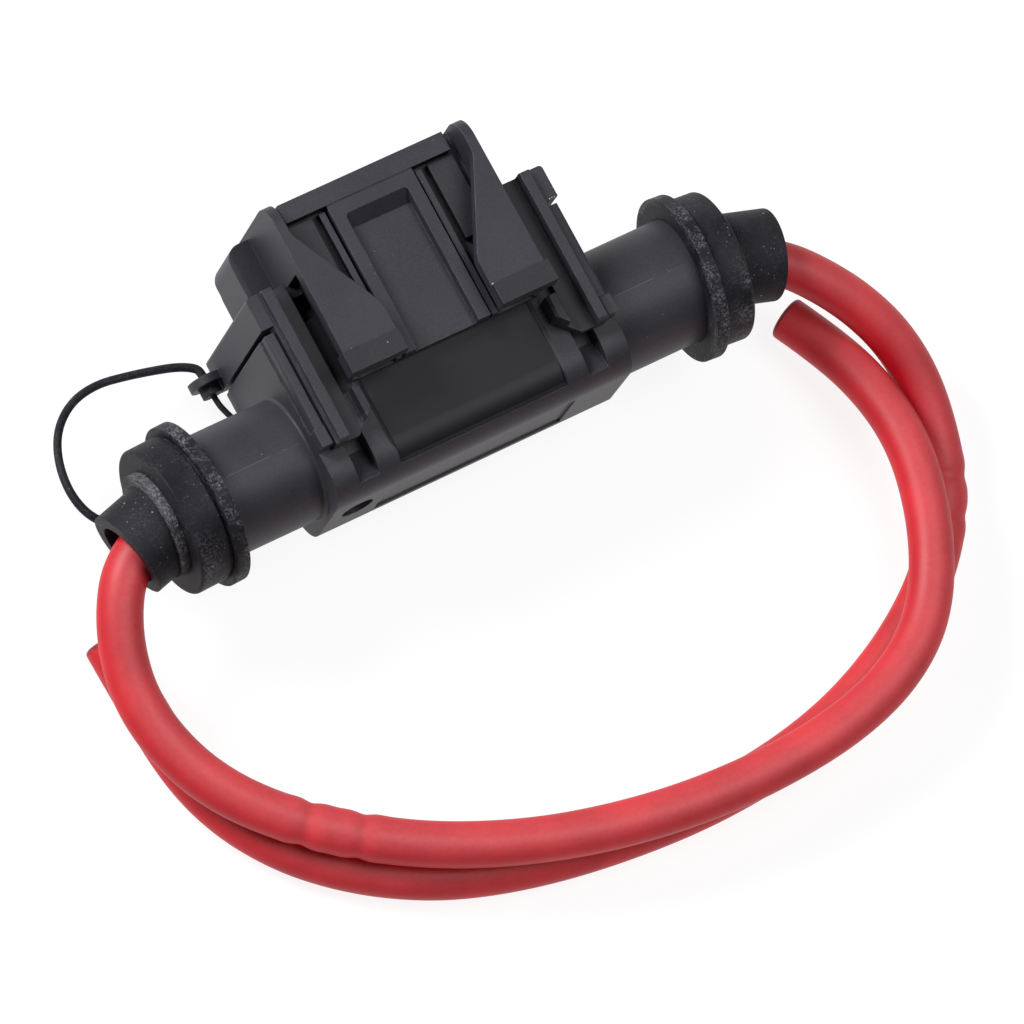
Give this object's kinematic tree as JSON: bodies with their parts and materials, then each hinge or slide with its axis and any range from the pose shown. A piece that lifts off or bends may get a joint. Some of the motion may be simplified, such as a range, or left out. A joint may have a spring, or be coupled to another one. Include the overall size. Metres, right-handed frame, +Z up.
{
  "type": "in-line fuse holder",
  "caption": "Black in-line holder for one MAXI blade fuse, with a sliding cover, soft end boots, a tether and two red leads.",
  "frame": {"origin": "bottom centre of the holder without its leads, on the surface that it lies on", "axes": "+X along the tubes towards the right-hand boot, +Y the way that the cover slides off, +Z up from the surface"},
  "size_m": [0.1398, 0.1066, 0.0388],
  "materials": {
    "black_plastic": "fine matt",
    "black_rubber": "matt with dust",
    "red_insulation": "satin",
    "blue_plastic": "smooth",
    "tinned_metal": "tinned",
    "copper": "bare strands"
  },
  "bodies": {
    "holder": {"housing": "black_plastic", "boot_left": "black_rubber", "boot_right": "black_rubber", "lead_left": "red_insulation", "lead_right": "red_insulation", "tether": "black_rubber", "tether_ring": "black_rubber", "fuse_case": "blue_plastic", "fuse_element": "tinned_metal", "terminal_left": "tinned_metal", "terminal_right": "tinned_metal", "conductor_left": "copper", "conductor_right": "copper"},
    "cover_body": {"cover": "black_plastic", "tether_knob": "black_rubber"}
  },
  "joints": [
    {"name": "cover_slide", "type": "slide", "parent": "holder", "child": "cover_body", "axis": [0, 1, 0], "range_m": [0, 0.0185], "deforming": ["tether"]}
  ]
}
